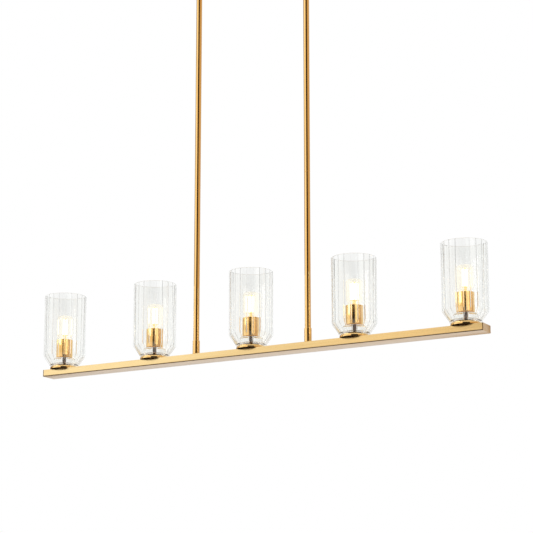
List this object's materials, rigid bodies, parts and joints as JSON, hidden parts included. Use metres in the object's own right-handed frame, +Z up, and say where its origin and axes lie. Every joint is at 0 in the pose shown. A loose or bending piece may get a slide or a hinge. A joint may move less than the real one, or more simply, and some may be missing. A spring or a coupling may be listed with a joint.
{
  "type": "linear island pendant",
  "caption": "Linear island pendant: a slim bar hung from rods with hang-straight swivels, carrying upright open glass shades with inner flutes over tubular bulbs.",
  "frame": {"origin": "on the ceiling plane, midway between the two outlet-box slots of the mounting strap", "axes": "+X along the bar to the right as seen from the front, +Y away from the front, +Z up; the whole part hangs below z = 0"},
  "size_m": [1.209, 0.127, 1.0948],
  "materials": {
    "gold_polished": "polished brass plate, lacquered",
    "gold_brushed": "brushed brass plate, lacquered",
    "gold_satin": "satin brass plate",
    "cover_satin": "satin brass plate, on the underside",
    "zinc_steel": "zinc-plated",
    "green_screw": "green dyed zinc",
    "clear_silicone": "translucent silicone",
    "shade_glass": "clear pressed glass, fluted inside",
    "porcelain": "glazed porcelain",
    "cap_nickel": "nickel-plated",
    "bulb_clear": "clear blown glass",
    "filament": "lit filament sticks on a glass stem"
  },
  "bodies": {
    "canopy": {"mounting_strap": "zinc_steel", "canopy": "gold_satin", "canopy_screws": "gold_polished", "ground_screw": "green_screw", "swivel_nuts": "zinc_steel", "swivel_seat_left": "gold_polished", "swivel_seat_right": "gold_polished"},
    "hanger": {"swivel_ball_left": "gold_polished", "swivel_ball_right": "gold_polished", "upper_rod_left": "gold_polished", "upper_rod_right": "gold_polished", "lower_rod_left": "gold_polished", "lower_rod_right": "gold_polished", "ferrule_left": "gold_polished", "ferrule_right": "gold_polished", "rod_couplers": "zinc_steel", "bar_channel": "gold_brushed", "bar_cover": "cover_satin", "end_cap_left": "gold_brushed", "end_cap_right": "gold_brushed", "cover_screws": "gold_brushed", "bar_nuts": "zinc_steel", "socket_nipples": "gold_polished", "shade_washers": "clear_silicone", "saucer_1": "gold_polished", "shade_1": "shade_glass", "socket_cup_1": "gold_polished", "lampholder_1": "porcelain", "saucer_2": "gold_polished", "shade_2": "shade_glass", "socket_cup_2": "gold_polished", "lampholder_2": "porcelain", "saucer_3": "gold_polished", "shade_3": "shade_glass", "socket_cup_3": "gold_polished", "lampholder_3": "porcelain", "saucer_4": "gold_polished", "shade_4": "shade_glass", "socket_cup_4": "gold_polished", "lampholder_4": "porcelain", "saucer_5": "gold_polished", "shade_5": "shade_glass", "socket_cup_5": "gold_polished", "lampholder_5": "porcelain"},
    "bulb_1": {"bulb_base_1": "cap_nickel", "bulb_glass_1": "bulb_clear", "bulb_filament_1": "filament"},
    "bulb_2": {"bulb_base_2": "cap_nickel", "bulb_glass_2": "bulb_clear", "bulb_filament_2": "filament"},
    "bulb_3": {"bulb_base_3": "cap_nickel", "bulb_glass_3": "bulb_clear", "bulb_filament_3": "filament"},
    "bulb_4": {"bulb_base_4": "cap_nickel", "bulb_glass_4": "bulb_clear", "bulb_filament_4": "filament"},
    "bulb_5": {"bulb_base_5": "cap_nickel", "bulb_glass_5": "bulb_clear", "bulb_filament_5": "filament"}
  },
  "joints": [
    {"name": "swing", "type": "hinge", "parent": "canopy", "child": "hanger", "pos_m": [0, 0, -0.0378], "axis": [1, 0, 0], "range_deg": [-20, 20]},
    {"name": "bulb_turn_1", "type": "hinge", "parent": "hanger", "child": "bulb_1", "pos_m": [-0.551, 0, -1.0326], "axis": [0, 0, 1], "range_deg": [0, 1440]},
    {"name": "bulb_turn_2", "type": "hinge", "parent": "hanger", "child": "bulb_2", "pos_m": [-0.2755, 0, -1.0326], "axis": [0, 0, 1], "range_deg": [0, 1440]},
    {"name": "bulb_turn_3", "type": "hinge", "parent": "hanger", "child": "bulb_3", "pos_m": [0, 0, -1.0326], "axis": [0, 0, 1], "range_deg": [0, 1440]},
    {"name": "bulb_turn_4", "type": "hinge", "parent": "hanger", "child": "bulb_4", "pos_m": [0.2755, 0, -1.0326], "axis": [0, 0, 1], "range_deg": [0, 1440]},
    {"name": "bulb_turn_5", "type": "hinge", "parent": "hanger", "child": "bulb_5", "pos_m": [0.551, 0, -1.0326], "axis": [0, 0, 1], "range_deg": [0, 1440]}
  ]
}
